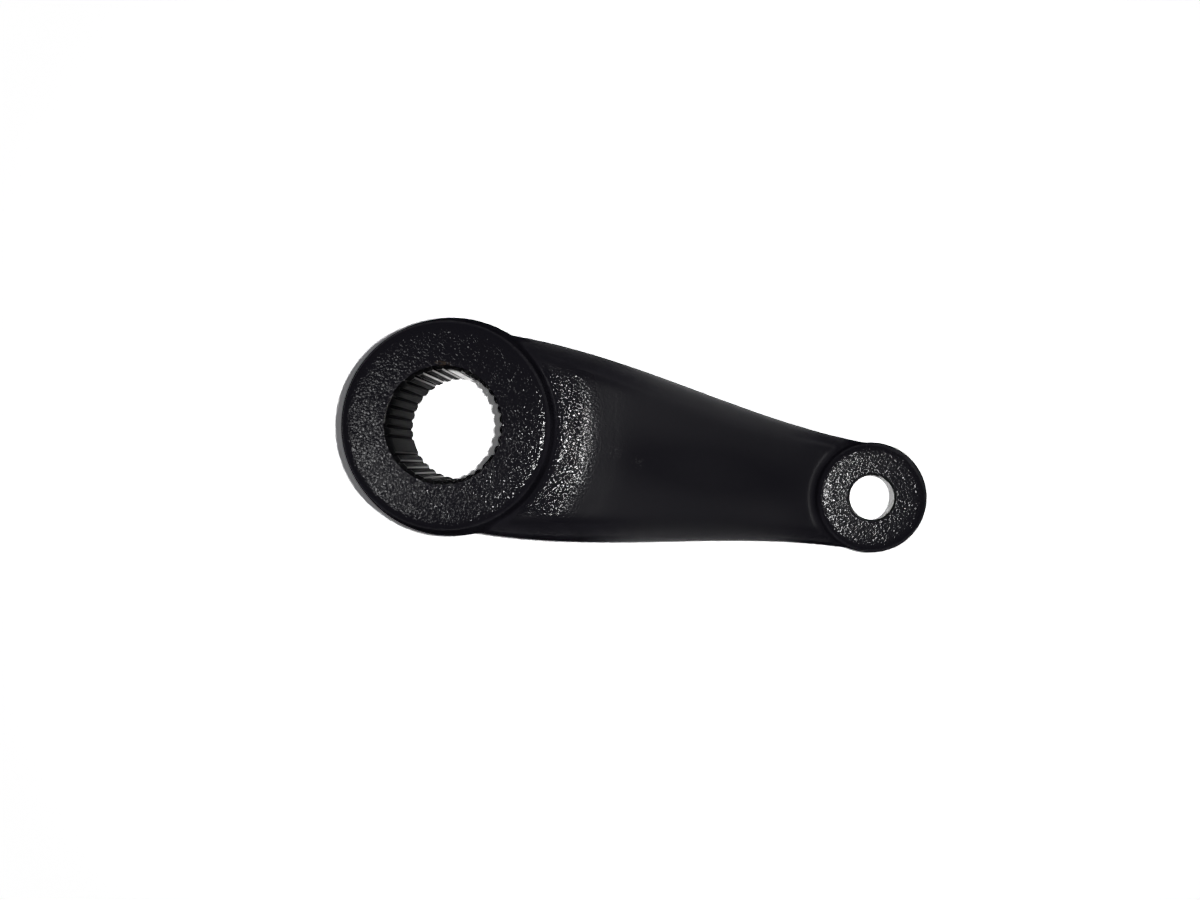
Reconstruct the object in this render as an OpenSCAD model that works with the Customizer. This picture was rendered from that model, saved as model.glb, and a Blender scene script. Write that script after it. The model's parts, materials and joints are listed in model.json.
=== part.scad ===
// Dropped pitman arm, forged in one piece.
// The origin is on the shaft axis at the nut face, +Z runs up to the gearbox face and +X to the ball stud.

/* [Layout] */
// Distance between the shaft axis and the stud axis
centre_distance = 122.5; // [100:0.5:180]
// How far the stud boss's top face lies below the gearbox face
drop = 27; // [10:1:45]
// Draft angle of the forged walls
forging_draft = 7; // [3:0.5:9]
// Height of the upright band left along the parting line where the flash was trimmed off
trim_h = 1.6; // [1:0.1:3]

/* [Shaft boss] */
// Height of the shaft boss, from nut face to gearbox face
shaft_boss_h = 40; // [34:0.5:50]
// Radius of the boss wall where it meets the rim of the gearbox face
shaft_rim_r = 29.4; // [28.6:0.1:31]
// Radius of the boss at the parting line
shaft_parting_r = 31.1; // [30:0.1:35]
// Height of the parting line above the nut face
shaft_parting_h = 27; // [20:0.5:28]
// Radius of the rounded rim of each face
shaft_rim_round = 2.4; // [1:0.1:4]
// How far the forged boss lies off the axis of the bore, towards the stud
boss_offset = 0.6; // [0:0.1:1.5]

/* [Serrated bore] */
// Diameter over the tooth lands at the gearbox face
bore_land_d = 30.9; // [26:0.1:34]
// Taper of the bore: one in this many, on diameter
bore_taper = 32; // [16:1:64]
// Number of places for a groove round the bore
serration_places = 36; // [24:12:48]
// Number of those places left blank, evenly spaced, so that the arm fits the shaft only the right way
blank_places = 3; // [2, 3, 4]
// Angle from the arm's length to the first blank
first_blank_angle = 90; // [0:1:120]
// Depth of each groove
groove_depth = 1.0; // [0.6:0.05:1.2]
// Angle between the two flanks of a groove
groove_angle = 74; // [60:1:84]
// Height of the cone that leads into the teeth at the gearbox face
lead_in_h = 5; // [1:0.5:8]
// Width of the chamfer round the bore at the nut face
nut_chamfer = 1.4; // [1.2:0.1:2]

/* [Stud boss] */
// Height of the stud boss
stud_boss_h = 21; // [18:0.5:28]
// Radius of the boss wall where it meets the rim of each face
stud_rim_r = 16; // [15.8:0.1:16.2]
// Radius of the stud boss at the parting line
stud_parting_r = 16.2; // [16.1:0.1:18]
// Radius of the rounded rim of each face
stud_rim_round = 2.5; // [1:0.1:3.4]
// Diameter of the tapered stud hole at the castle-nut face
stud_hole_d = 12.8; // [11:0.1:16]
// Taper of the stud hole: one in this many, on diameter
stud_taper = 10; // [8:1:16]
// Width of the rounded lip round the top of the stud hole
stud_lip = 0.8; // [0.4:0.1:1.2]

/* [Arm] */
// Width of the arm where it leaves the shaft boss
arm_root_w = 57; // [50:0.2:58]
// Width of the arm level with the stud axis
arm_tip_w = 31.4; // [27:0.2:31.6]
// Distance from the shaft axis at which the arm starts to narrow
narrowing_start = 14; // [5:1:40]
// Step from the gearbox face down to the shoulder of the arm
shoulder_step = 7; // [5:0.5:10]
// Step from the nut face up to the underside of the arm at its root
root_rise = 12; // [6:0.5:16]
// Step from the stud boss's top face down to the arm
stud_step = 4; // [3:0.5:6]
// Step from the stud boss's bottom face up to the underside of the arm
tip_rise = 3; // [2:0.5:5]
// Radius of the rounded edges of the arm
arm_edge_r = 8; // [4:0.5:9]
// Distance from the shaft axis at which the top starts to fall
top_bend_start = 36; // [32:1:50]
// Distance from the shaft axis at which the parting line starts to fall
parting_bend_start = 20; // [16:1:34]
// Distance from the shaft axis at which the underside starts to fall
under_bend_start = 32; // [30:1:50]
// Distance from the stud axis at which both bends end
bend_end = 10; // [8:0.5:30]
// Reach of the concave fillet round the shaft boss
shaft_fillet = 2.5; // [2:0.5:6]
// Reach of the concave fillet round the stud boss
stud_fillet = 1.5; // [1:0.5:4]

/* [Hidden] */
$fn = 96;

// Heights of the faces
stud_top_z = shaft_boss_h - drop;
stud_bottom_z = stud_top_z - stud_boss_h;
stud_parting_z = (stud_top_z + stud_bottom_z) / 2;

// How far a cutter runs past the face that it opens
overrun = 1;

// Serrated bore: half the taper's angle, the pitch, and the land and root radii at the gearbox face
bore_half_angle = atan(0.5 / bore_taper);
serration_pitch = 360 / serration_places;
blank_every = serration_places / blank_places;
land_r = bore_land_d / 2;
root_r = land_r + groove_depth;
lead_in_w = 0.85 * groove_depth;

// Bore radius over the lands at a height
function land_r_at(z) = land_r - (shaft_boss_h - z) * tan(bore_half_angle);

// Arm: resolution, how deep its ends are buried in the bosses, and the limit of a station's arc in degrees
station_count = 50;
crowding = 0.1;
solve_steps = 12;
flat_points = 8;
corner_points = 5;
root_bury = 1.6;
tip_bury = 2.2;
side_limit = 80;
// Least height of leaning wall between a rounded edge and the trim band
least_wall = 0.2;

shaft_wall_r = shaft_rim_r + boss_offset;
station_start = shaft_wall_r - root_bury;
station_end = centre_distance - stud_rim_r + tip_bury;

function smooth(t) = let (u = min(max(t, 0), 1)) u * u * (3 - 2 * u);

// Half the width of the arm at a distance along it: it narrows in an S from the root to the stud axis
function half_width(x) = (arm_root_w
    - (arm_root_w - arm_tip_w) * smooth((x - narrowing_start) / (centre_distance - narrowing_start))) / 2;

// A station is an arc round the shaft axis at the root that turns into one round the stud axis at the tip
function station_share(s) = smooth((s - station_start) / (station_end - station_start));
function arc_x(radius, y) = sqrt(max(radius * radius - y * y, 0));
function station_x(s, y) = (1 - station_share(s)) * arc_x(s, y)
    + station_share(s) * (centre_distance - arc_x(centre_distance - s, y));

// Half the width of a station, met by repeated substitution, and kept clear of each arc's ends
function widest(s) = min(s, centre_distance - s) * sin(side_limit);
function station_half_width(s, y, steps) = steps == 0 ? y
    : station_half_width(s, min(half_width(station_x(s, y)), widest(s)), steps - 1);

// Height that a fillet adds at a distance from a wall: a parabola that leaves the arm level
function fillet_rise(from_wall, reach) = pow(max(reach - max(from_wall, 0), 0), 2) / (2 * reach);
function fillets(s) = fillet_rise(s - shaft_wall_r, shaft_fillet)
    + fillet_rise(centre_distance - s - stud_rim_r, stud_fillet);

// Height of the arm's top, underside and parting line at a station
function bend(s, start) = smooth((s - start) / (centre_distance - bend_end - start));
function top_z(s) = shaft_boss_h - shoulder_step + fillets(s)
    + bend(s, top_bend_start) * (stud_top_z - stud_step - shaft_boss_h + shoulder_step);
function under_z(s) = root_rise - fillets(s)
    + bend(s, under_bend_start) * (stud_bottom_z + tip_rise - root_rise);
function parting_z(s) = shaft_parting_h + bend(s, parting_bend_start) * (stud_parting_z - shaft_parting_h);

// One quarter of a section, from the middle of the top to the parting line, for a half width and a height
function quarter(half_w, h) =
    let (r = min(arm_edge_r, h - trim_h / 2 - least_wall),
         edge = half_w - (h - trim_h / 2) * tan(forging_draft),
         lean = 90 - forging_draft,
         centre_y = edge - r * tan(lean / 2))
    concat(
        [for (i = [0:flat_points - 1]) [centre_y * i / flat_points, h]],
        [for (i = [0:corner_points]) let (a = 90 - lean * i / corner_points)
            [centre_y + r * cos(a), h - r + r * sin(a)]],
        [[half_w, trim_h / 2], [half_w, 0]]);

// The closed ring of a station, as points in the arm's frame
function ring(s) =
    let (half_w = station_half_width(s, widest(s), solve_steps),
         line = parting_z(s),
         up = quarter(half_w, top_z(s) - line),
         low = quarter(half_w, line - under_z(s)),
         n = len(up))
    concat(
        [for (p = up) [station_x(s, p[0]), p[0], line + p[1]]],
        [for (i = [n - 2:-1:0]) [station_x(s, low[i][0]), low[i][0], line - low[i][1]]],
        [for (i = [1:n - 1]) [station_x(s, low[i][0]), -low[i][0], line - low[i][1]]],
        [for (i = [n - 2:-1:1]) [station_x(s, up[i][0]), -up[i][0], line + up[i][1]]]);

// Stations lie closer together near the two bosses
function station(i) = let (t = i / station_count)
    station_start + (station_end - station_start) * (t - crowding * sin(360 * t));

function flatten(lists) = [for (list = lists) each list];

module arm_web() {
    rings = [for (i = [0:station_count]) ring(station(i))];
    n = len(rings[0]);
    last = station_count * n;
    root_tip = (station_count + 1) * n;
    root_middle = [station_start / 2, 0, (top_z(station_start) + under_z(station_start)) / 2];
    tip_middle = [centre_distance - stud_rim_r / 4, 0, (top_z(station_end) + under_z(station_end)) / 2];
    walls = flatten([for (i = [0:station_count - 1], j = [0:n - 1])
        let (a = i * n + j, b = i * n + (j + 1) % n) [[a, b, a + n], [b, b + n, a + n]]]);
    root_cap = [for (j = [0:n - 1]) [root_tip, (j + 1) % n, j]];
    tip_cap = [for (j = [0:n - 1]) [root_tip + 1, last + j, last + (j + 1) % n]];
    polyhedron(concat(flatten(rings), [root_middle, tip_middle]), concat(walls, root_cap, tip_cap));
}

// A forged boss: two flat faces with rounded rims, and walls that widen to the parting line
module forged_boss(bottom_z, top_z, parting_z, top_r, parting_r, bottom_r, rim_round) {
    half_trim = trim_h / 2;
    top_lean = atan((parting_r - top_r) / (top_z - parting_z - half_trim));
    bottom_lean = atan((parting_r - bottom_r) / (parting_z - bottom_z - half_trim));
    rim_steps = 6;
    rotate_extrude()
        polygon(concat(
            [[0, bottom_z]],
            [for (i = [0:rim_steps]) let (a = -90 + (90 - bottom_lean) * i / rim_steps)
                [bottom_r - rim_round + rim_round * cos(a), bottom_z + rim_round + rim_round * sin(a)]],
            [[parting_r, parting_z - half_trim], [parting_r, parting_z + half_trim]],
            [for (i = [0:rim_steps]) let (a = top_lean + (90 - top_lean) * i / rim_steps)
                [top_r - rim_round + rim_round * cos(a), top_z - rim_round + rim_round * sin(a)]],
            [[0, top_z]]));
}

module shaft_boss() {
    translate([boss_offset, 0, 0])
        forged_boss(0, shaft_boss_h, shaft_parting_h, shaft_rim_r, shaft_parting_r,
            shaft_parting_r - shaft_parting_h * tan(forging_draft), shaft_rim_round);
}

module stud_boss() {
    translate([centre_distance, 0, 0])
        forged_boss(stud_bottom_z, stud_top_z, stud_parting_z,
            stud_rim_r, stud_parting_r, stud_rim_r, stud_rim_round);
}

// One V groove that follows the taper of the bore
module groove() {
    inward = groove_depth + overrun / 2;
    half_w = inward * tan(groove_angle / 2);
    translate([root_r, 0, shaft_boss_h])
        rotate([0, bore_half_angle, 0])
            translate([0, 0, -shaft_boss_h - overrun])
                linear_extrude(shaft_boss_h + 2 * overrun)
                    polygon([[0, 0], [-inward, half_w], [-inward, -half_w]]);
}

module serrated_bore() {
    translate([0, 0, -overrun])
        cylinder(h = shaft_boss_h + 2 * overrun, r1 = land_r_at(-overrun),
            r2 = land_r_at(shaft_boss_h + overrun));
    for (place = [0:serration_places - 1])
        if (place % blank_every != 0)
            rotate([0, 0, first_blank_angle + place * serration_pitch])
                groove();
    lead_in_slope = lead_in_w / lead_in_h;
    translate([0, 0, shaft_boss_h - lead_in_h])
        cylinder(h = lead_in_h + overrun, r1 = land_r_at(shaft_boss_h - lead_in_h),
            r2 = land_r + lead_in_w + overrun * lead_in_slope);
    translate([0, 0, -overrun])
        cylinder(h = nut_chamfer + overrun, r1 = land_r_at(0) + nut_chamfer + overrun, r2 = land_r_at(0));
}

module stud_hole() {
    top_r = stud_hole_d / 2;
    half_slope = 0.5 / stud_taper;
    translate([centre_distance, 0, stud_bottom_z - overrun])
        cylinder(h = stud_boss_h + 2 * overrun, r1 = top_r + (stud_boss_h + overrun) * half_slope,
            r2 = top_r - overrun * half_slope);
    translate([centre_distance, 0, stud_top_z])
        rotate_extrude()
            polygon(concat([[0, overrun], [0, -stud_lip]],
                [for (a = [90:-15:0]) [top_r + stud_lip * (1 - sin(a)), -stud_lip * (1 - cos(a))]],
                [[top_r + stud_lip, overrun]]));
}

module pitman_arm() {
    color("#18181a")
        difference() {
            union() {
                shaft_boss();
                stud_boss();
                arm_web();
            }
            serrated_bore();
            stud_hole();
        }
}

pitman_arm();
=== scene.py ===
"""Dresses a forged pitman arm: its fine mesh, its black paint, and the table that it lies on."""

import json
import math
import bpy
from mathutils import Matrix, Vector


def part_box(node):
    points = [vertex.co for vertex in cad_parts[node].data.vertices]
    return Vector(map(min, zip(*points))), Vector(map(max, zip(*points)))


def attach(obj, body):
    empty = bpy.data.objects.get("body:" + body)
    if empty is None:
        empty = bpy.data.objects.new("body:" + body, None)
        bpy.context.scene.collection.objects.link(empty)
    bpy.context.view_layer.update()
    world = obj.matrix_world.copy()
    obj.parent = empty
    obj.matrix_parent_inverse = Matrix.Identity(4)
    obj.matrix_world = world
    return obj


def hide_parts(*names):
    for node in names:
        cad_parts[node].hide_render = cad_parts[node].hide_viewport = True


bl_info = {
    "name": "Forged pitman arm",
    "version": (1, 0, 0),
    "blender": (4, 5, 0),
    "location": "3D View > Sidebar > Pitman arm",
    "description": "Builds the painted forging of a dropped pitman arm and the table that it is shown on",
    "category": "Object",
}

from types import SimpleNamespace

import bpy
import numpy as np
from bpy.props import FloatProperty, FloatVectorProperty, IntProperty, PointerProperty
from mathutils import Matrix, Vector

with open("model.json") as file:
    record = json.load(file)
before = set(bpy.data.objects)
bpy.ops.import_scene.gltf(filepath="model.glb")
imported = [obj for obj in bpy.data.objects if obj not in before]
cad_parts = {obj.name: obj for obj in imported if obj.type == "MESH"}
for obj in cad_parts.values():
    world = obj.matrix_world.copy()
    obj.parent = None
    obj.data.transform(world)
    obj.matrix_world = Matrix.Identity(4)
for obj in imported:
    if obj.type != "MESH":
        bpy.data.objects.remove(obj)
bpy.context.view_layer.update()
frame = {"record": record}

NODE = "pitman_arm"
BODY = "root"
PIECE = "forged_arm"
MM = 0.001

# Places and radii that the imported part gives
NODE_LOW, NODE_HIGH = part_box(NODE)
MOUNTS = {mount["name"]: mount for mount in frame["record"]["mounts"]}
SHAFT_BOSS_H = MOUNTS["gearbox_face"]["pos_m"][2]
CENTRE_DISTANCE = MOUNTS["stud_hole"]["pos_m"][0]
STUD_TOP_Z = MOUNTS["castle_nut_face"]["pos_m"][2]
STUD_BOTTOM_Z = MOUNTS["stud_seal_face"]["pos_m"][2]
BORE_LAND_R = MOUNTS["shaft_bore"]["dims"]["r_mm"] * MM
STUD_HOLE_R = MOUNTS["stud_hole"]["dims"]["r_mm"] * MM

# The picture that the camera is set up for, in pixels
PICTURE_W = 1200
PICTURE_H = 900

# Grain of the tubes that the forging is made of
BOSS_COLUMNS = 256
HOLE_COLUMNS = 192
PLACE_COLUMNS = 24
RIM_POINTS = 9
FLAT_POINTS = 24
ARC_POINTS = 12
ARM_STATIONS = 181

# How far a cutting space runs past the face that it opens
OVERRUN = 2 * MM

# Where the paint changes: start and end of each change, from an axis of the arm or from its middle line
WRINKLES_FADE = (36 * MM, 45.5 * MM)
SMOOTH_SIDES = (18 * MM, 22.5 * MM)
SHAFT_SURROUND = (35 * MM, 32 * MM)
STUD_SURROUND = (20 * MM, 17 * MM)
FILLET_INNER = (30.5 * MM, 31.5 * MM)
FILLET_OUTER = (36 * MM, 34 * MM)
SHOULDER_CROWN = (39 * MM, 32 * MM)
SHOULDER_FALL = (38 * MM, 48 * MM)
SHEEN_START = (40 * MM, 62 * MM)
SHEEN_END = (108 * MM, 92 * MM)
SHEEN_SIDES = (0, 13 * MM)
UPPER_SIDE = (-5 * MM, 5 * MM)
UPPER_FACE = (-5 * MM, 20 * MM)
LOWER_RIGHT_FACE = (8 * MM, 40 * MM)

# The same, counted from the stud boss's rim, from the gearbox face and from the parting lines
STUD_RIM = (0.3 * MM, -0.3 * MM)
STUD_FACE = (-1.4 * MM, -2.8 * MM)
STUD_CORNER = (2.5 * MM, 1.2 * MM)
SHAFT_FACE = (-2 * MM, -0.5 * MM)
SHAFT_LOWER_WALL = (-1 * MM, -14 * MM)
STUD_LOWER_WALL = (-1 * MM, -6 * MM)

# Upright part of the normal at which a surface counts as a wall, an edge or a rim
WALL_LEAN = (0.8, 0.5)
EDGE_LEAN = (0.95, 0.85)
RIM_LEAN = (0.96, 0.86)

# Worn spot on the gearbox face and scuffs on the arm: middle, and the factor on distances along the arm
WORN_SPOT = (-2.7 * MM, 16.75 * MM, 0.3)
SCUFFS = ((47.5 * MM, 0.5 * MM, 0.6), (54.6 * MM, -1.4 * MM, 1.0))
SCUFFS_ABOVE = (20 * MM, 22 * MM)

# Sectors of the bore in degrees from the arm's length, in which bare steel is put to mirror the table as
# painted glints: how each starts and how it ends, the rim's across 180
GLINT_SECTOR_TOP = ((76, 84), (140, 125))
GLINT_SECTOR_LOW = ((-150, -125), (-95, -103))
GLINT_BLANK = ((83, 85), (97, 95))
GLINT_RIM = ((156, 164), (-171, -177))

# Depth in a groove, as a share of the whole: where a flank starts, where it ends and where the painted shade
# of the root starts
FLANK_START = (0.08, 0.2)
FLANK_END = (0.6, 0.4)
ROOT_SHADE_START = (0.25, 0.5)

# Distances on the table: where it turns plain white, from the arm's middle, and where the painted light
# under the bore, which lifts the shadow seen through it, fades in
TABLE_AWAY = (120 * MM, 250 * MM)
BORE_PAINTED_LIGHT = (21 * MM, 18 * MM)

# Lamps that are only mirrored in the paint: place, power in watts, width and height in metres
MIRRORED_LAMPS = {
    "left_soft": ((-0.21, -0.06, 0.9), 0.22, 0.065, 0.08),
    "far_wall": ((0.66, 0.62, 0.38), 1.7, 0.8, 0.45),
    "near_wall": ((0.66, -0.62, 0.25), 0.38, 0.8, 0.2),
}


def length(label, description, default):
    """A size in metres."""
    return FloatProperty(name=label, description=description, default=default, unit="LENGTH", precision=5)


def angle(label, description, degrees):
    """An angle, written here in degrees and kept in radians."""
    return FloatProperty(name=label, description=description, default=math.radians(degrees),
                         subtype="ANGLE")


def amount(label, description, default):
    """A plain number."""
    return FloatProperty(name=label, description=description, default=default, precision=4)


def count(label, description, default):
    """A whole number."""
    return IntProperty(name=label, description=description, default=default)


def watts(label, description, default):
    """A lamp's power."""
    return FloatProperty(name=label, description=description, default=default, unit="POWER")


def colour(label, description, default):
    """A linear colour."""
    return FloatVectorProperty(name=label, description=description, default=default, size=3,
                               subtype="COLOR")


class ForgingSizes(bpy.types.PropertyGroup):
    """Sizes of the forging. They are the solid's, but for the lead-in, the edge, root and run-out of the
    grooves, and the skin, which are the dressed arm's own."""

    centre_distance: length("Centre distance", "Between the shaft axis and the stud axis", CENTRE_DISTANCE)
    draft: angle("Forging draft", "Lean of the forged walls", 7)
    trim_h: length("Trim band", "Height of the upright band along the parting line", 1.6 * MM)
    shaft_boss_h: length("Shaft boss height", "From the nut face to the gearbox face", SHAFT_BOSS_H)
    shaft_rim_r: length("Shaft boss rim", "Radius of the boss wall at the gearbox face", 29.4 * MM)
    shaft_parting_r: length("Shaft boss radius", "Radius of the boss at the parting line", NODE_HIGH.y)
    shaft_parting_h: length("Parting height", "Height of the boss's parting line", 27 * MM)
    shaft_rim_round: length("Shaft rim rounding", "Radius of the rounded rim of each face", 2.4 * MM)
    boss_offset: length("Boss offset", "From the bore's axis to the boss's, towards the stud",
                        NODE_LOW.x + NODE_HIGH.y)
    bore_land_r: length("Bore radius", "Radius over the tooth lands at the gearbox face", BORE_LAND_R)
    bore_taper: amount("Bore taper", "One in this many, on diameter", 32)
    serration_places: count("Serration places", "Places for a groove", 36)
    blank_every: count("Blank every", "Every such place has no groove", 12)
    first_blank: angle("First blank", "Angle from the arm's length to the first blank", 90)
    groove_depth: length("Groove depth", "Depth of each groove", 1.0 * MM)
    groove_angle: angle("Groove angle", "Between the two flanks of a groove", 74)
    groove_edge: amount("Groove edge", "Share of the depth that blunts the edge of a groove", 0.04)
    groove_root: amount("Groove root", "Share of the depth at which the root of a groove is flat", 0.93)
    groove_run_out: amount("Groove run-out", "Share of the groove depth that is left at the nut face", 0.6)
    lead_in_h: length("Lead-in height", "Height of the cone that leads into the teeth", 3.5 * MM)
    lead_in_w: length("Lead-in width", "Width of that cone at the gearbox face", 1.1 * MM)
    nut_chamfer: length("Nut chamfer", "Width of the chamfer round the bore at the nut face", 1.4 * MM)
    stud_top_z: length("Stud boss top", "Height of the castle-nut face", STUD_TOP_Z)
    stud_bottom_z: length("Stud boss bottom", "Height of the seal face", STUD_BOTTOM_Z)
    stud_rim_r: length("Stud boss rim", "Radius of the boss wall at each face", 16 * MM)
    stud_parting_r: length("Stud boss radius", "Radius at the parting line", NODE_HIGH.x - CENTRE_DISTANCE)
    stud_rim_round: length("Stud rim rounding", "Radius of the rounded rim of each face", 2.5 * MM)
    stud_hole_r: length("Stud hole radius", "Radius of the tapered hole at the seal face", STUD_HOLE_R)
    stud_taper: amount("Stud hole taper", "One in this many, on diameter", 10)
    stud_lip: length("Stud hole lip", "Width of the rounded lip round the top of the hole", 0.8 * MM)
    arm_root_w: length("Arm root width", "Width where the arm leaves the shaft boss", 57 * MM)
    arm_tip_w: length("Arm tip width", "Width level with the stud axis", 31.4 * MM)
    narrowing_start: length("Narrowing start", "Distance at which the arm starts to narrow", 14 * MM)
    shoulder_step: length("Shoulder step", "From the gearbox face down to the shoulder", 7 * MM)
    root_rise: length("Root rise", "From the nut face up to the underside at the root", 12 * MM)
    stud_step: length("Stud step", "From the castle-nut face down to the arm", 4 * MM)
    tip_rise: length("Tip rise", "From the seal face up to the underside at the tip", 3 * MM)
    root_bury: length("Root bury", "How far inside the shaft boss the arm starts", 1.6 * MM)
    tip_bury: length("Tip bury", "How far inside the stud boss the arm ends", 2.2 * MM)
    arm_edge_r: length("Arm edge radius", "Radius of the rounded edges of the arm", 8 * MM)
    top_bend_start: length("Top bend start", "Distance at which the top starts to fall", 36 * MM)
    parting_bend_start: length("Parting bend start", "Distance at which the parting line starts to fall",
                               20 * MM)
    under_bend_start: length("Under bend start", "Distance at which the underside starts to fall", 32 * MM)
    bend_end: length("Bend end", "Distance from the stud axis at which both bends end", 10 * MM)
    shaft_fillet: length("Shaft fillet", "Reach of the fillet round the shaft boss", 2.5 * MM)
    stud_fillet: length("Stud fillet", "Reach of the fillet round the stud boss", 1.5 * MM)
    skin_voxel: length("Skin voxel", "Grain at which the forging is melted into one skin", 0.66 * MM)
    skin_rounding: length("Skin rounding", "Rounding that the softening adds to a rim", 0.8 * MM)
    skin_smoothing: count("Skin smoothing", "Passes that soften the skin", 10)

    @property
    def shaft_wall_r(self):
        """Distance from the bore's axis to the boss wall on the side of the arm."""
        return self.shaft_rim_r + self.boss_offset

    @property
    def shaft_bottom_r(self):
        """Radius of the shaft boss at its nut face: the parting radius less the draft."""
        return self.shaft_parting_r - self.shaft_parting_h * math.tan(self.draft)

    @property
    def stud_parting_z(self):
        """Height of the stud boss's parting line, half way up it."""
        return (self.stud_top_z + self.stud_bottom_z) / 2

    @property
    def loft_start(self):
        """The arm's first station, a little inside the shaft boss."""
        return self.shaft_wall_r - self.root_bury

    @property
    def loft_end(self):
        """The arm's last station, a little inside the stud boss."""
        return self.centre_distance - self.stud_rim_r + self.tip_bury

    def land_r_at(self, z):
        """Bore radius over the lands at a height: it shrinks by half the taper below the gearbox face."""
        return self.bore_land_r - (self.shaft_boss_h - z) * 0.5 / self.bore_taper


class PaintFinish(bpy.types.PropertyGroup):
    """Colours and textures of the paint and of the bare steel."""

    paint: colour("Paint", "Gloss black of the forging", (0.0112, 0.0104, 0.0145))
    # Painted light: the walls' dull paint is lightened to lift walls and the groove beside the shaft boss,
    # which the flash meets at a grazing angle
    dull_paint_lifted: colour("Dull paint", "Thin paint on the walls", (0.02, 0.0188, 0.025))
    paint_roughness: amount("Paint roughness", "Roughness of the gloss paint", 0.06)
    dust_roughness: amount("Dust roughness", "Added where dust lies", 0.02)
    stud_roughness: amount("Stud face roughness", "Added on the face of the stud boss", 0.06)
    arm_roughness: amount("Arm roughness", "Added where the skin is smooth", 0.225)
    edge_roughness: amount("Edge roughness", "Added on edges and walls, and in the arm's sheen", 0.26)
    corner_roughness: amount("Corner roughness", "Added in the corner beside the stud boss", 0.35)
    peel_cell: length("Peel cell", "Width of one wrinkle of the leathery skin", 0.66 * MM)
    peel_depth: length("Peel depth", "Depth of the wrinkles on the shoulder", 0.145 * MM)
    coated: colour("Coated steel", "Dark skin on the lands of the bore", (0.0035, 0.0035, 0.0045))
    steel: colour("Bare steel", "Broached flanks of the bore", (0.56, 0.55, 0.54))
    reamed: colour("Reamed steel", "Wall of the stud hole", (0.1, 0.1, 0.098))
    scuffed: colour("Scuffed paint", "Two faint scuffs on the arm", (0.034, 0.033, 0.037))
    worn: colour("Worn paint", "Brown spot where the paint is worn beside the bore", (0.05, 0.036, 0.026))


class StageSetup(bpy.types.PropertyGroup):
    """The table, the lamps and the camera."""

    table: colour("Table", "Pale grey of the table", (0.8, 0.8, 0.8))
    table_seen: colour("Table as seen", "Brightness of the table for the eye", (2.6, 2.6, 2.6))
    # Painted light: a glow that only the eye sees, which lifts the table's shadows
    painted_shadow_lift: colour("Haze", "Light that the eye sees over the table's shadows", (0.12, 0.12, 0.12))
    room: colour("Room", "Dim light of the room", (0.032, 0.032, 0.034))
    focal: amount("Focal length", "In pixels of a picture 1200 wide", 1642)
    roll: angle("Roll", "Turn of the arm's length in the picture", 9.489)
    eye_right: length("Eye to the right", "From the shaft axis, along the picture's width", 67.753 * MM)
    eye_down: length("Eye down", "From the shaft axis, along the picture's height", 14.978 * MM)
    eye_height: length("Eye height", "Above the gearbox face", 451.05 * MM)
    level_x: amount("Level x", "Pixel at which the eye looks straight down, across", 688.16)
    level_y: amount("Level y", "Pixel at which the eye looks straight down, from the top", 479.24)
    flash_right: length("Flash to the right", "Flash to the right of the eye", 21.5 * MM)
    flash_up: length("Flash up", "Flash above the eye in the picture", 3 * MM)
    flash_power: watts("Flash power", "Flash beside the eye", 1.1)
    flash_width: length("Flash width", "Width of the flash", 8 * MM)
    glow_power: watts("Glow power", "Glow of the flash that the paint mirrors", 0.58)
    glow_width: length("Glow width", "Width of that glow", 29 * MM)


# Surfaces


def smooth_rise(t):
    """0 before 0, 1 after 1, and the cubic 3 t squared less 2 t cubed between them."""
    u = np.clip(t, 0, 1)
    return u * u * (3 - 2 * u)


def grid_faces(rows, columns):
    """Quads of a grid whose columns close into a ring: (i, j) joins (i, j+1), (i+1, j+1) and (i+1, j)."""
    i, j = np.meshgrid(np.arange(rows - 1), np.arange(columns), indexing="ij")
    after = (j + 1) % columns
    corners = [i * columns + j, i * columns + after, (i + 1) * columns + after, (i + 1) * columns + j]
    return np.stack(corners, axis=-1).reshape(-1, 4)


def closed_tube(rings):
    """A tube of rings, an array of rows x columns x 3, closed by one polygon at each end."""
    rows, columns = rings.shape[:2]
    caps = [list(range(columns))[::-1], list(range((rows - 1) * columns, rows * columns))]
    return rings.reshape(-1, 3), grid_faces(rows, columns).tolist() + caps


def lathe(radius, z, axis_x, columns):
    """Rings of radius(z) round the upright line at axis_x. A radius may differ from column to column."""
    turn = 2 * np.pi * np.arange(columns) / columns
    radius = np.broadcast_to(radius.reshape(len(z), -1), (len(z), columns))
    heights = np.broadcast_to(z[:, None], radius.shape)
    return np.stack([axis_x + radius * np.cos(turn), radius * np.sin(turn), heights], axis=-1)


def boss_rings(bottom_z, top_z, parting_z, radii, rim, trim_h, axis_x):
    """A forged boss of three radii, at its top, parting line and bottom: rim arcs at both faces, and
    straight walls that widen to the upright trim band along the parting line."""
    top_r, parting_r, bottom_r = radii
    half_trim = trim_h / 2
    top_lean = math.atan2(parting_r - top_r, top_z - parting_z - half_trim)
    bottom_lean = math.atan2(parting_r - bottom_r, parting_z - bottom_z - half_trim)
    low = np.linspace(-np.pi / 2, -bottom_lean, RIM_POINTS)
    high = np.linspace(top_lean, np.pi / 2, RIM_POINTS)
    radius = np.concatenate([bottom_r - rim + rim * np.cos(low), [parting_r, parting_r],
                             top_r - rim + rim * np.cos(high)])
    z = np.concatenate([bottom_z + rim + rim * np.sin(low), [parting_z - half_trim, parting_z + half_trim],
                        top_z - rim + rim * np.sin(high)])
    return lathe(radius, z, axis_x, BOSS_COLUMNS)


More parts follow.
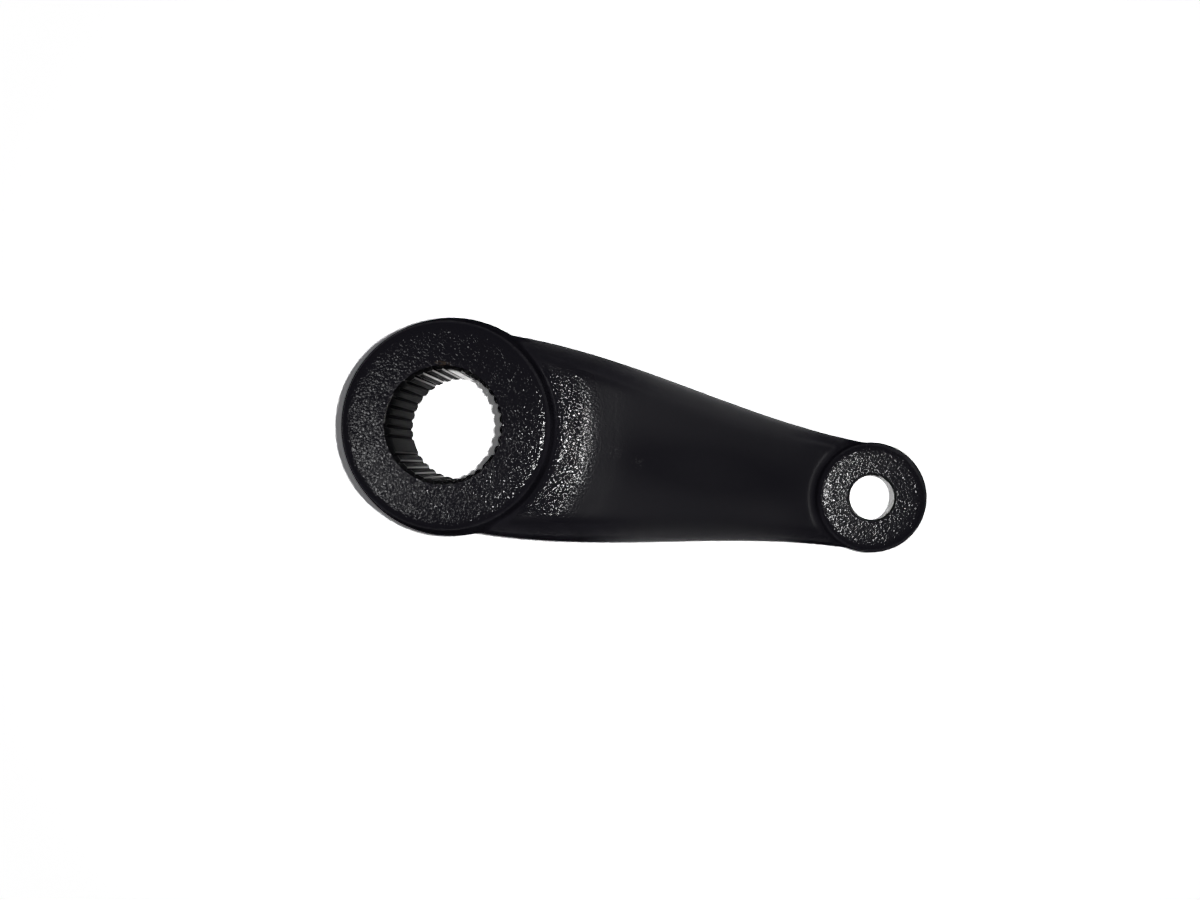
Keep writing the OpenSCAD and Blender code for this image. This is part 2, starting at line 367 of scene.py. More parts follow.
def arm_half_width(size, x):
    """Half the arm's width at x: an S from the root width to the tip width, reached at the stud axis."""
    share = smooth_rise((x - size.narrowing_start) / (size.centre_distance - size.narrowing_start))
    return (size.arm_root_w - (size.arm_root_w - size.arm_tip_w) * share) / 2


def station_x(size, s, y):
    """x of station s at breadth y: an arc round the shaft axis that turns into one round the stud axis."""
    share = smooth_rise((s - size.loft_start) / (size.loft_end - size.loft_start))
    near = np.sqrt(np.maximum(s ** 2 - y ** 2, 0))
    far = size.centre_distance - np.sqrt(np.maximum((size.centre_distance - s) ** 2 - y ** 2, 0))
    return (1 - share) * near + share * far


def station_half_width(size, s):
    """Half the width of station s, found by putting it back into the arm's outline twelve times."""
    longest_arc = math.radians(80)
    widest = np.minimum(s, size.centre_distance - s) * math.sin(longest_arc)
    y = widest
    for _ in range(12):
        y = np.minimum(arm_half_width(size, station_x(size, s, y)), widest)
    return y


def fillet_rise(from_wall, reach):
    """Height of a fillet at a distance from its wall: a parabola that ends level at its reach."""
    return np.maximum(reach - np.maximum(from_wall, 0), 0) ** 2 / (2 * reach)


def arm_heights(size, s):
    """Top, underside and parting line of the arm at station s: each is two levels joined by a smooth fall,
    and the first two have fillets at both bosses."""
    fillets = fillet_rise(s - size.shaft_wall_r, size.shaft_fillet)
    fillets = fillets + fillet_rise(size.centre_distance - s - size.stud_rim_r, size.stud_fillet)
    end = size.centre_distance - size.bend_end
    root_top = size.shaft_boss_h - size.shoulder_step
    top_fall = smooth_rise((s - size.top_bend_start) / (end - size.top_bend_start))
    under_fall = smooth_rise((s - size.under_bend_start) / (end - size.under_bend_start))
    top = root_top + fillets + top_fall * (size.stud_top_z - size.stud_step - root_top)
    under = size.root_rise - fillets + under_fall * (size.stud_bottom_z + size.tip_rise - size.root_rise)
    parting_fall = smooth_rise((s - size.parting_bend_start) / (end - size.parting_bend_start))
    parting = size.shaft_parting_h + parting_fall * (size.stud_parting_z - size.shaft_parting_h)
    return top, under, parting


def quarter_section(size, half_w, h):
    """Breadth and height of a quarter of each section, from the middle of its top to the parting line: a
    flat, an edge arc, a wall that leans by the draft, and half the upright trim band."""
    half_trim = size.trim_h / 2
    lean = np.pi / 2 - size.draft
    least_wall = 0.2 * MM
    edge_r = np.minimum(size.arm_edge_r, h - half_trim - least_wall)
    centre_y = half_w - (h - half_trim) * math.tan(size.draft) - edge_r * math.tan(lean / 2)
    flat = np.linspace(0, 1, FLAT_POINTS, endpoint=False)
    arc = np.pi / 2 - np.linspace(0, lean, ARC_POINTS)
    level = 0 * half_w
    y = np.concatenate([centre_y * flat, centre_y + edge_r * np.cos(arc), half_w, half_w], axis=1)
    z = np.concatenate([h + 0 * flat, h - edge_r + edge_r * np.sin(arc), half_trim + level, level], axis=1)
    return y, z


def arm_rings(size):
    """The arm as rings: a quarter section above the parting line and one below it, mirrored to both sides.
    A sine draws the stations closer together towards both ends."""
    closer = 0.1
    t = np.linspace(0, 1, ARM_STATIONS)
    share = t - closer * np.sin(2 * np.pi * t)
    s = (size.loft_start + (size.loft_end - size.loft_start) * share)[:, None]
    top, under, parting = arm_heights(size, s)
    half_w = station_half_width(size, s)
    up_y, up_z = quarter_section(size, half_w, top - parting)
    low_y, low_z = quarter_section(size, half_w, parting - under)
    ring_y = np.concatenate([up_y, low_y[:, -2::-1], -low_y[:, 1:], -up_y[:, -2:0:-1]], axis=1)
    ring_z = np.concatenate([up_z, -low_z[:, -2::-1], -low_z[:, 1:], up_z[:, -2:0:-1]], axis=1)
    return np.stack([station_x(size, s, ring_y), ring_y, parting + ring_z], axis=-1)[::-1]


def bore_rings(size):
    """The space of the serrated bore: a tapered land radius, plus a V at each place that isn't blank, whose
    depth falls evenly towards the nut face, and never less than the cones of the lead-in and the nut
    chamfer."""
    columns = size.serration_places * PLACE_COLUMNS
    turn = 2 * np.pi * np.arange(columns) / columns
    pitch = 2 * np.pi / size.serration_places
    place_number = np.round((turn - size.first_blank) / pitch)
    off_centre = np.abs(turn - size.first_blank - place_number * pitch)
    half_open = size.groove_depth * math.tan(size.groove_angle / 2) / size.bore_land_r
    groove = size.groove_depth * np.clip(1 + size.groove_edge - off_centre / half_open, 0, size.groove_root)
    groove = np.where(place_number % size.blank_every == 0, 0, groove)
    top = size.shaft_boss_h
    clear = 2 * MM
    z = np.concatenate([[-OVERRUN], np.linspace(0, size.nut_chamfer, 8),
                        np.linspace(2 * clear, top - size.lead_in_h - clear, 8),
                        np.linspace(top - size.lead_in_h, top, 10), [top + OVERRUN]])
    land = size.land_r_at(z)
    nut_cone = size.land_r_at(0) + size.nut_chamfer - z
    lead_in = land + size.lead_in_w * (z - top + size.lead_in_h) / size.lead_in_h
    left = size.groove_run_out + (1 - size.groove_run_out) * z / top
    radius = np.maximum(land[:, None] + groove * left[:, None], np.maximum(nut_cone, lead_in)[:, None])
    return lathe(radius, z, 0, columns)


def stud_hole_rings(size):
    """The space of the stud hole: a cone that narrows upwards, with a broken edge at the seal face and a
    quarter-round lip at the castle-nut face."""
    slope = 0.5 / size.stud_taper
    top, bottom = size.stud_top_z, size.stud_bottom_z
    top_r = size.stud_hole_r - (top - bottom) * slope
    turn = np.linspace(0, np.pi / 2, RIM_POINTS)
    lip_z = top - size.stud_lip + size.stud_lip * np.sin(turn)
    lip_r = top_r + size.stud_lip * (1 - np.cos(turn))
    cone_z = np.linspace(bottom, top - 1.5 * size.stud_lip, 12)
    cone_r = size.stud_hole_r - (cone_z - bottom) * slope
    edge = 0.5 * MM
    edge_r = size.stud_hole_r + edge
    z = np.concatenate([[bottom - OVERRUN, bottom, bottom + edge], cone_z[1:], lip_z, [top + OVERRUN]])
    radius = np.concatenate([[edge_r + OVERRUN, edge_r, size.stud_hole_r - edge * slope],
                             cone_r[1:], lip_r, [lip_r[-1]]])
    return lathe(radius, z, size.centre_distance, HOLE_COLUMNS)


# Meshes


def mesh_object(name, tubes):
    """One mesh of several closed tubes, linked into the scene."""
    points, faces, first = [], [], 0
    for rings in tubes:
        tube_points, tube_faces = closed_tube(rings)
        points.append(tube_points)
        faces += [[first + corner for corner in face] for face in tube_faces]
        first += len(tube_points)
    mesh = bpy.data.meshes.new(name)
    mesh.from_pydata(np.concatenate(points).tolist(), [], faces)
    made = bpy.data.objects.new(name, mesh)
    bpy.context.scene.collection.objects.link(made)
    return made


def apply_modifiers(made):
    """Keeps what the modifiers make as the object's own mesh."""
    depsgraph = bpy.context.evaluated_depsgraph_get()
    mesh = bpy.data.meshes.new_from_object(made.evaluated_get(depsgraph))
    made.modifiers.clear()
    made.data = mesh
    return made


def remove(made):
    """Takes a helper object and its mesh out of the file."""
    mesh = made.data
    bpy.data.objects.remove(made)
    bpy.data.meshes.remove(mesh)


def melt_together(made, voxel, passes):
    """Turns overlapping tubes into one skin of even grain, and softens where they meet."""
    remesh = made.modifiers.new("skin", "REMESH")
    remesh.mode = "VOXEL"
    remesh.voxel_size = voxel
    soften = made.modifiers.new("soften", "SMOOTH")
    soften.factor = 0.5
    soften.iterations = passes
    return apply_modifiers(made)


def cut_away(made, space):
    """Cuts a space out of a piece."""
    cut = made.modifiers.new("cut", "BOOLEAN")
    cut.operation = "DIFFERENCE"
    cut.solver = "MANIFOLD"
    cut.object = space
    apply_modifiers(made)
    remove(space)


def polygon_array(mesh, name, width):
    """One property of every polygon as an array."""
    values = np.empty(len(mesh.polygons) * width, np.float32)
    mesh.polygons.foreach_get(name, values)
    return values.reshape(-1, width)


# Shaders


class Wire:
    """A value on its way through a shader. Arithmetic on it adds Math nodes."""

    def __init__(self, shader, socket):
        self.shader = shader
        self.socket = socket

    def math(self, operation, *values):
        """A Math node on these values."""
        return self.shader.add("ShaderNodeMath", dict(enumerate(values)), {"operation": operation})

    def __add__(self, other):
        return self.math("ADD", self, other)

    def __radd__(self, other):
        return self.math("ADD", other, self)

    def __sub__(self, other):
        return self.math("SUBTRACT", self, other)

    def __rsub__(self, other):
        return self.math("SUBTRACT", other, self)

    def __mul__(self, other):
        return self.math("MULTIPLY", self, other)

    def __rmul__(self, other):
        return self.math("MULTIPLY", other, self)

    def __truediv__(self, other):
        return self.math("DIVIDE", self, other)

    def __rtruediv__(self, other):
        return self.math("DIVIDE", other, self)

    def __pow__(self, other):
        return self.math("POWER", self, other)

    def at_least(self, other):
        """The larger of two values."""
        return self.math("MAXIMUM", self, other)

    def at_most(self, other):
        """The smaller of two values."""
        return self.math("MINIMUM", self, other)

    def magnitude(self):
        """The value without its sign."""
        return self.math("ABSOLUTE", self)


class Shader:
    """The node tree of a material or of the world, cleared for a new start."""

    def __init__(self, owner):
        owner.use_nodes = True
        self.tree = owner.node_tree
        self.tree.nodes.clear()

    def add(self, kind, sockets=None, settings=None, output=0):
        """Adds a node, sets its settings, then its sockets, and gives back one output."""
        node = self.tree.nodes.new(kind)
        for name, value in (settings or {}).items():
            setattr(node, name, value)
        for name, value in (sockets or {}).items():
            if isinstance(value, Wire):
                self.tree.links.new(value.socket, node.inputs[name])
            else:
                node.inputs[name].default_value = value
        return Wire(self, node.outputs[output]) if node.outputs else None

    def ramp(self, value, low, high):
        """0 at low and below, 1 at high and above, smooth between. Low may be the larger."""
        limits = {"Value": value, "From Min": low, "From Max": high}
        return self.add("ShaderNodeMapRange", limits, {"interpolation_type": "SMOOTHSTEP"})

    def blend(self, share, first, second):
        """A colour between two colours."""
        return self.add("ShaderNodeMix", {0: share, 6: first, 7: second}, {"data_type": "RGBA"}, output=2)

    def object_point(self):
        """The point on the piece, in the arm's frame, as a vector and as its three parts."""
        point = self.add("ShaderNodeTexCoord", output="Object")
        parts = [self.add("ShaderNodeSeparateXYZ", {"Vector": point}, output=axis) for axis in "XYZ"]
        return point, parts

    def noise(self, point, cell, detail=2.0, distortion=0.0):
        """Noise whose lumps are about one cell wide."""
        sockets = {"Vector": point, "Scale": 1 / cell, "Detail": detail, "Distortion": distortion}
        return self.add("ShaderNodeTexNoise", sockets)

    def bump(self, height, distance, normal=None):
        """A normal bent by a height, whose step from 0 to 1 is that distance."""
        sockets = {"Height": height, "Distance": distance, "Strength": 1.0}
        if normal:
            sockets["Normal"] = normal
        return self.add("ShaderNodeBump", sockets)

    def finish(self, surface):
        """Ends a material."""
        self.add("ShaderNodeOutputMaterial", {"Surface": surface})


def rgba(values):
    """A colour with its alpha."""
    return (*values, 1.0)


def radius_from(x, y, axis_x=0.0):
    """Distance from an upright line."""
    across = x - axis_x
    return (across * across + y * y) ** 0.5


def counted_from(base, change):
    """The start and the end of a change that is counted from a base."""
    return base + change[0], base + change[1]


def paint_masks(shader, size, x, y, z):
    """Shares from 0 to 1 that say where on the forging a point lies and how dull its paint is. Each is made
    of smooth ramps over a distance from an axis, a height, or the upright part of the normal."""
    mask = SimpleNamespace()
    from_shaft = radius_from(x, y)
    from_stud = radius_from(x, y, size.centre_distance)
    facing = shader.add("ShaderNodeTexCoord", output="Normal")
    upright = shader.add("ShaderNodeSeparateXYZ", {"Vector": facing}, output="Z")
    level = upright.magnitude()
    upper_gloss, sheen_gloss, lower_gloss = 0.3, 0.6, 0.7
    rim_dullness, corner_dullness = 0.7, 0.5

    # The two faces, the smooth arm and the corner beside the stud boss
    on_stud = shader.ramp(from_stud, *counted_from(size.stud_rim_r, STUD_RIM))
    mask.stud_face = shader.ramp(from_stud, *counted_from(size.stud_rim_r, STUD_FACE))
    mask.corner = shader.ramp(from_stud, *counted_from(size.stud_rim_r, STUD_CORNER)) * (1 - on_stud)
    mask.shaft_face = shader.ramp(z, *counted_from(size.shaft_boss_h, SHAFT_FACE))
    sides = shader.ramp(y.magnitude(), *SMOOTH_SIDES) * (1 - mask.shaft_face)
    mask.smooth = (shader.ramp(from_shaft, *WRINKLES_FADE) * (1 - on_stud)).at_least(sides)

    # The sheen along both sides of the arm, and the edges and walls, apart from the fillet on the shoulder
    sheen = shader.ramp(x, *SHEEN_START) * shader.ramp(x, *SHEEN_END)
    fillet = shader.ramp(from_shaft, *FILLET_INNER) * shader.ramp(from_shaft, *FILLET_OUTER)
    fillet = fillet * (1 - sides) * (1 - mask.shaft_face)
    edge = shader.ramp(level, *EDGE_LEAN) * (1 - fillet)
    mask.matt = edge.at_least(mask.smooth * sheen * shader.ramp(y.magnitude(), *SHEEN_SIDES))

    # Dull walls and rims, with some gloss on the arm's sides and on the walls below the parting line
    near_shaft = shader.ramp(from_shaft, *SHAFT_SURROUND)
    near_stud = shader.ramp(from_stud, *STUD_SURROUND)
    below = near_shaft * shader.ramp(z, *counted_from(size.shaft_parting_h, SHAFT_LOWER_WALL))
    below = below + near_stud * shader.ramp(z, *counted_from(size.stud_parting_z, STUD_LOWER_WALL))
    side_gloss = upper_gloss * shader.ramp(y, *UPPER_SIDE) + sheen_gloss * sheen
    side_gloss = side_gloss * (1 - near_shaft.at_least(near_stud))
    wall = shader.ramp(level, *WALL_LEAN) * (1 - side_gloss - lower_gloss * below)
    rim = shader.ramp(upright, *RIM_LEAN) * (1 - sheen) * (1 - fillet)
    mask.dull = wall.at_least(rim_dullness * rim).at_least(corner_dullness * mask.corner)
    return mask


def forged_swell(shader, size, point, from_shaft):
    """A normal bent by the slow forms of the skin: a faint swell all over, an easier fillet beside the shaft
    boss, whose height is a parabola over its reach, and a shoulder that is crowned and then falls away.
    The heights are in millimetres."""
    swell_cell, swell_depth = 9 * MM, 0.05 * MM
    ease, crown_h, fall_h = 0.13, 0.65, 0.35
    swell = shader.bump(shader.noise(point, swell_cell, detail=1.0), swell_depth)
    into_fillet = size.shaft_wall_r + size.shaft_fillet - from_shaft
    into_fillet = into_fillet.at_least(0.0).at_most(size.shaft_fillet) / MM
    eased = shader.bump(-ease * into_fillet * into_fillet, 1 * MM, swell)
    crown = crown_h * shader.ramp(from_shaft, *SHOULDER_CROWN)
    return shader.bump(crown - fall_h * shader.ramp(from_shaft, *SHOULDER_FALL), 1 * MM, eased)


def paint_wear(shader, point, x, y, z, mask):
    """Shares of the worn spot and of the scuffs: discs drawn out along the arm and broken up by noise."""
    spot_x, spot_y, drawn = WORN_SPOT
    spot = radius_from((x - spot_x) * drawn, y - spot_y)
    worn = shader.ramp(spot, 0.9 * MM, 0.4 * MM) * shader.ramp(shader.noise(point, 1 * MM), 0.35, 0.6)
    first, second = [radius_from((x - at_x) * drawn, y - at_y) for at_x, at_y, drawn in SCUFFS]
    scuff = shader.ramp(first.at_most(second), 2.2 * MM, 0.8 * MM)
    scuff = scuff * shader.ramp(shader.noise(point, 0.7 * MM), 0.5, 0.68) * shader.ramp(z, *SCUFFS_ABOVE)
    return worn * mask.shaft_face, scuff


def paint_material(size, finish):
    """Black paint on a leathery forged skin: glossy and wrinkled on both faces and on the shoulder, smoother
    along the arm, and dull on the walls and rims. It is worn beside the bore and scuffed on the arm."""
    material = bpy.data.materials.new("black_paint")
    shader = Shader(material)
    point, (x, y, z) = shader.object_point()
    mask = paint_masks(shader, size, x, y, z)
    worn, scuff = paint_wear(shader, point, x, y, z, mask)
    dust = shader.noise(point, 14 * MM, detail=3.0)
    wrinkles = shader.noise(point, finish.peel_cell, detail=0.6, distortion=0.7)
    face_loss = 0.46 + 0.14 * shader.ramp(y, *UPPER_FACE) - 0.2 * shader.ramp(x - y, *LOWER_RIGHT_FACE)
    kept = 1 - 0.85 * mask.smooth - face_loss * mask.shaft_face - 0.4 * mask.stud_face
    swell = forged_swell(shader, size, point, radius_from(x, y))
    tone = shader.blend(worn, rgba(finish.paint), rgba(finish.worn))
    gloss = shader.add("ShaderNodeBsdfPrincipled", {
        "Base Color": shader.blend(scuff, tone, rgba(finish.scuffed)),
        "Roughness": finish.paint_roughness + finish.dust_roughness * dust
        + finish.stud_roughness * mask.stud_face + finish.arm_roughness * mask.smooth
        + finish.edge_roughness * mask.matt + finish.corner_roughness * mask.corner,
        "Specular IOR Level": 0.3,
        "Normal": shader.bump(wrinkles * kept, finish.peel_depth, swell),
    })
    # The walls' dull paint, lightened as painted light; random patches keep the plain paint's colour
    thin = 0.8 * shader.ramp(dust, 0.6, 0.4)
    dull = shader.add("ShaderNodeBsdfPrincipled", {
        "Base Color": shader.blend(thin, rgba(finish.dull_paint_lifted), rgba(finish.paint)),
        "Roughness": 0.6,
        "Specular IOR Level": 0.0,
        "Normal": shader.bump(wrinkles, 0.6 * finish.peel_depth, swell),
    })
    shader.finish(shader.add("ShaderNodeMixShader", {0: mask.dull, 1: gloss, 2: dull}))
    return material


def sector(shader, turn, ends):
    """1 between the two ends of a sector and 0 outside it, with a smooth change at each."""
    return shader.ramp(turn, *ends[0]) * shader.ramp(turn, *ends[1])


def bore_material(size, finish):
    """Broached bore: a dark coat, with a dull copy of it in the roots of the grooves as painted shade, and
    bright bare steel on the flanks of two sectors, on one blank place and along a part of the rim, which is
    painted reflection: it sits only where the table's glints show."""
    material = bpy.data.materials.new("broached_bore")
    shader = Shader(material)
    point, (x, y, z) = shader.object_point()
    top = size.shaft_boss_h
    land = size.bore_land_r - (top - z) * (0.5 / size.bore_taper)
    depth = (radius_from(x, y) - land) / size.groove_depth
    below_lead_in = shader.ramp(z, top - size.lead_in_h + 1 * MM, top - size.lead_in_h)
    flank = shader.ramp(depth, *FLANK_START) * shader.ramp(depth, *FLANK_END) * below_lead_in
    stroke = shader.noise(point, 0.3 * MM)
    turn = y.math("ARCTAN2", y, x) / math.radians(1)
    # Painted reflection: bare steel only in the sectors where glints show, the same flanks elsewhere stay
    # coated; the lower sector is dimmer
    glint_sectors = sector(shader, turn, GLINT_SECTOR_TOP) + 0.6 * sector(shader, turn, GLINT_SECTOR_LOW)
    # Painted highlight: a thin bright line along a part of the bore's rim
    rim = shader.ramp(z, top - 0.8 * MM, top - 0.5 * MM)
    rim = rim * (shader.ramp(turn, *GLINT_RIM[0]) + shader.ramp(turn, *GLINT_RIM[1]))
    bare = flank * (0.05 + 0.95 * glint_sectors) * (0.5 + 0.5 * stroke)
    bare = bare + 0.8 * sector(shader, turn, GLINT_BLANK) * below_lead_in + 0.9 * rim
    skin = shader.add("ShaderNodeBsdfPrincipled", {
        "Base Color": shader.blend(bare, rgba(finish.coated), rgba(finish.steel)),
        "Metallic": bare,
        "Roughness": 0.75 - 0.57 * bare,
        "Specular IOR Level": 0.05,
        "Normal": shader.bump(stroke, 0.02 * MM),
    })
    # Painted shade: the roots of the grooves get a dull copy of the coat without reflection
    root = shader.add("ShaderNodeBsdfPrincipled", {
        "Base Color": rgba(finish.coated),
        "Roughness": 0.8,
        "Specular IOR Level": 0.0,
    })
    painted_root_shade = 0.75 * shader.ramp(depth, *ROOT_SHADE_START) * below_lead_in * (1 - shader.ramp(bare, 0.1, 0.3))
    shader.finish(shader.add("ShaderNodeMixShader", {0: painted_root_shade, 1: skin, 2: root}))
    return material


def reamed_material(size, finish):
    """Reamed stud hole: bare steel with fine rings from the tool."""
    material = bpy.data.materials.new("reamed_hole")
    shader = Shader(material)
    point, (x, y, z) = shader.object_point()
    turn_marks = shader.add("ShaderNodeTexNoise", {"W": z, "Scale": 1 / (0.25 * MM), "Detail": 2.0},
                            {"noise_dimensions": "1D"})
    stain = shader.noise(point, 3 * MM, detail=3.0)
    surface = shader.add("ShaderNodeBsdfPrincipled", {
        "Base Color": shader.blend(0.35 * stain, rgba(finish.reamed), rgba(finish.coated)),
        "Metallic": 1.0,
        "Roughness": 0.28 + 0.15 * stain,
        "Normal": shader.bump(turn_marks, 0.01 * MM),
    })
    shader.finish(surface)
    return material


def table_material(stage):
    """Pale table that takes the arm's shadow: the eye sees it as white where the flash lights it, with a
    faint painted light over the shadows that only the eye sees, stronger under the bore, and away from the
    arm it turns plain white, in reflections too."""
    material = bpy.data.materials.new("white_table")
    shader = Shader(material)
    by_eye, by_mirror, by_glass = [shader.add("ShaderNodeLightPath", output=name)
                                   for name in ("Is Camera Ray", "Is Glossy Ray", "Is Transmission Ray")]
    point, (x, y, z) = shader.object_point()
    away = shader.ramp(radius_from(x, y, CENTRE_DISTANCE / 2), *TABLE_AWAY)
    seen = by_eye.at_least(by_mirror).at_least(by_glass)
    tone = shader.blend(seen, rgba(stage.table), rgba(stage.table_seen))
    lit = shader.add("ShaderNodeBsdfDiffuse", {"Color": tone})
    # Painted light: a glow over the table's shadows that only the eye sees, stronger under the bore
    in_bore = shader.ramp(radius_from(x, y), *BORE_PAINTED_LIGHT)
    painted_shadow_lift = shader.blend(by_eye * (0.7 + 0.3 * in_bore), (0, 0, 0, 1), rgba(stage.painted_shadow_lift))
    lit = shader.add("ShaderNodeAddShader", {0: lit, 1: shader.add("ShaderNodeEmission", {"Color": painted_shadow_lift})})
    white = shader.add("ShaderNodeEmission", {"Strength": 1.0})
    shader.finish(shader.add("ShaderNodeMixShader", {0: away * seen, 1: lit, 2: white}))
    return material


# Stage


def eye_frame(stage):
    """The camera's place and its right, down and forward directions, from the pixel at which it looks
    straight down."""
    right = Vector((math.cos(stage.roll), math.sin(stage.roll), 0))
    down = Vector((math.sin(stage.roll), -math.cos(stage.roll), 0))
    up = Vector((0, 0, 1))
    eye = right * stage.eye_right + down * stage.eye_down + up * (SHAFT_BOSS_H + stage.eye_height)
    across = (PICTURE_W / 2 - stage.level_x) / stage.focal
    along = (PICTURE_H / 2 - stage.level_y) / stage.focal
    look = (right * across + down * along - up).normalized()
    right = (right - look * right.dot(look)).normalized()
    return eye, right, look.cross(right), look


def turned(right, up, back, origin):
    """A matrix with these axes and this origin."""
    return Matrix.Translation(origin) @ Matrix((right, up, back)).transposed().to_4x4()


def add_camera(stage):
    """The camera at the photograph's place."""
    eye, right, down, look = eye_frame(stage)
    camera = bpy.data.objects.new("camera", bpy.data.cameras.new("camera"))
    camera.data.sensor_width = 36
    camera.data.lens = stage.focal / PICTURE_W * camera.data.sensor_width
    camera.data.clip_start = 0.01
    camera.matrix_world = turned(right, -down, -look, eye)
    bpy.context.scene.collection.objects.link(camera)
    bpy.context.scene.camera = camera


def add_lamp(name, origin, target, power, width, height, shape="RECTANGLE", lights=True, mirrored=True):
    """An area lamp that looks at a point. It may only light surfaces, or only be mirrored in them."""
    lamp = bpy.data.objects.new(name, bpy.data.lights.new(name, "AREA"))
    lamp.data.shape = shape
    lamp.data.size = width
    lamp.data.size_y = height
    lamp.data.energy = power
    lamp.visible_diffuse = lights
    lamp.visible_glossy = mirrored
    back = (Vector(origin) - Vector(target)).normalized()
    lamp.matrix_world = Matrix.Translation(origin) @ back.to_track_quat("Z", "Y").to_matrix().to_4x4()
    bpy.context.scene.collection.objects.link(lamp)


def add_table(size, stage):
    """A wide table, a hair below the rim of the shaft boss and the edge of the stud boss on which the arm
    rests."""
    gap = 0.1 * MM
    left = size.boss_offset - size.shaft_bottom_r + size.shaft_rim_round
    right = size.centre_distance - size.stud_rim_r + size.stud_rim_round
    rest_left = Vector((left, 0, -gap))
    rest_right = Vector((right, 0, size.stud_bottom_z - gap))
    along = (rest_right - rest_left).normalized()
    across = Vector((0, 1, 0))
    reach = 4.0
    signs = ((-1, -1), (1, -1), (1, 1), (-1, 1))
    corners = [rest_left + along * a * reach + across * b * reach for a, b in signs]
    mesh = bpy.data.meshes.new("table")
    mesh.from_pydata([tuple(corner) for corner in corners], [], [(0, 1, 2, 3)])
    mesh.materials.append(table_material(stage))
    table = bpy.data.objects.new("table", mesh)
    bpy.context.scene.collection.objects.link(table)


def light_room(stage):
    """Dim room light, and plain white where the eye looks past the table."""
    world = bpy.data.worlds.new("room")
    bpy.context.scene.world = world
    shader = Shader(world)
    seen = shader.add("ShaderNodeLightPath", output="Is Camera Ray")
    tone = shader.blend(seen, rgba(stage.room), (1, 1, 1, 1))
    sky = shader.add("ShaderNodeBackground", {"Color": tone, "Strength": 1.0})
    shader.add("ShaderNodeOutputWorld", {"Surface": sky})


# Operators


class PITMAN_OT_forging(bpy.types.Operator):
    """Build the forged arm with its serrated bore and its tapered stud hole"""

    bl_idname = "pitman.forging"
    bl_label = "Forged arm"

    def execute(self, context):
        size = context.scene.pitman_sizes
        finish = context.scene.pitman_finish
        shaft_boss = boss_rings(0, size.shaft_boss_h, size.shaft_parting_h,
                                (size.shaft_rim_r, size.shaft_parting_r, size.shaft_bottom_r),
                                size.shaft_rim_round - size.skin_rounding, size.trim_h, size.boss_offset)
        stud_boss = boss_rings(size.stud_bottom_z, size.stud_top_z, size.stud_parting_z,
                               (size.stud_rim_r, size.stud_parting_r, size.stud_rim_r),
                               size.stud_rim_round - size.skin_rounding, size.trim_h, size.centre_distance)
        arm = mesh_object(PIECE, [shaft_boss, stud_boss, arm_rings(size)])
        melt_together(arm, size.skin_voxel, size.skin_smoothing)
        cut_away(arm, mesh_object("bore_space", [bore_rings(size)]))
        cut_away(arm, mesh_object("stud_space", [stud_hole_rings(size)]))
        self.dress(arm.data, size, finish)
        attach(arm, BODY)
        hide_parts(NODE)
        return {"FINISHED"}

    def dress(self, mesh, size, finish):
        """Paint all over, but the walls of the bore and of the stud hole."""
        mesh.materials.clear()
        for make in (paint_material, bore_material, reamed_material):
            mesh.materials.append(make(size, finish))
        level = 0.9
        past_roots = 1.25 * size.groove_depth
        sharpest = math.radians(32)
        middle = polygon_array(mesh, "center", 3)
        wall = np.abs(polygon_array(mesh, "normal", 3)[:, 2]) < level
        from_shaft = np.hypot(middle[:, 0], middle[:, 1])
        from_stud = np.hypot(middle[:, 0] - size.centre_distance, middle[:, 1])
        in_bore = wall & (from_shaft < size.bore_land_r + past_roots)
        in_hole = wall & (from_stud < size.stud_hole_r + size.stud_lip)
        mesh.polygons.foreach_set("material_index", (in_bore * 1 + in_hole * 2).astype(np.int32))
        mesh.shade_smooth()
        mesh.set_sharp_from_angle(angle=sharpest)


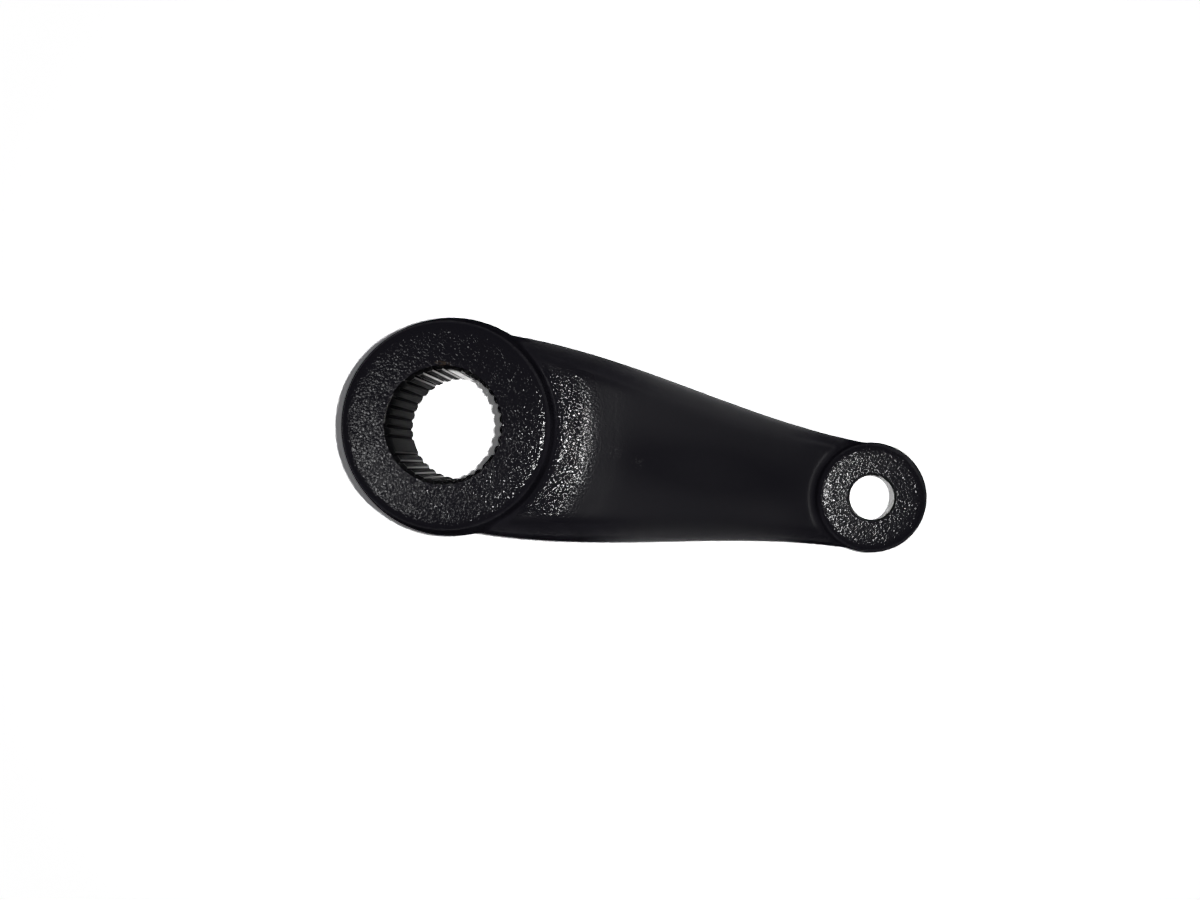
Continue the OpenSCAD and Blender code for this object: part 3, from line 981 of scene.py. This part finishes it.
class PITMAN_OT_stage(bpy.types.Operator):
    """Lay a white table under the arm, light it and set the camera"""

    bl_idname = "pitman.stage"
    bl_label = "Table, lamps and camera"

    def execute(self, context):
        size = context.scene.pitman_sizes
        stage = context.scene.pitman_stage
        context.scene.view_settings.view_transform = "Standard"
        add_camera(stage)
        add_table(size, stage)
        light_room(stage)
        eye, right, down, look = eye_frame(stage)
        arm_middle = Vector((size.centre_distance / 2, 0, 0))
        flash = eye + right * stage.flash_right - down * stage.flash_up
        add_lamp("flash", flash, flash + look, stage.flash_power, stage.flash_width, stage.flash_width,
                 "DISK", mirrored=False)
        add_lamp("flash_glow", flash, flash + look, stage.glow_power, stage.glow_width, stage.glow_width,
                 "DISK", lights=False)
        for name, (place, power, width, height) in MIRRORED_LAMPS.items():
            add_lamp(name, place, arm_middle, power, width, height, lights=False)
        return {"FINISHED"}


class PITMAN_PT_sidebar(bpy.types.Panel):
    """Lists the operators and the sizes of the arm"""

    bl_idname = "PITMAN_PT_sidebar"
    bl_label = "Pitman arm"
    bl_space_type = "VIEW_3D"
    bl_region_type = "UI"
    bl_category = "Pitman arm"

    def draw(self, context):
        column = self.layout.column()
        for operator in OPERATORS:
            column.operator(operator.bl_idname)
        for name in GROUPS:
            group = getattr(context.scene, name)
            for key in group.bl_rna.properties.keys():
                if key not in {"rna_type", "name"}:
                    column.prop(group, key)


GROUPS = {"pitman_sizes": ForgingSizes, "pitman_finish": PaintFinish, "pitman_stage": StageSetup}
OPERATORS = (PITMAN_OT_forging, PITMAN_OT_stage)
CLASSES = (*GROUPS.values(), *OPERATORS, PITMAN_PT_sidebar)


def register():
    """Adds the classes, and the groups of settings to the scene."""
    for made in CLASSES:
        bpy.utils.register_class(made)
    for name, group in GROUPS.items():
        setattr(bpy.types.Scene, name, PointerProperty(type=group))


def unregister():
    """Takes the settings and the classes away again."""
    for name in GROUPS:
        delattr(bpy.types.Scene, name)
    for made in reversed(CLASSES):
        bpy.utils.unregister_class(made)


def main():
    """Builds the arm and its stage."""
    register()
    bpy.ops.pitman.forging()
    bpy.ops.pitman.stage()


if __name__ == "__main__":
    main()
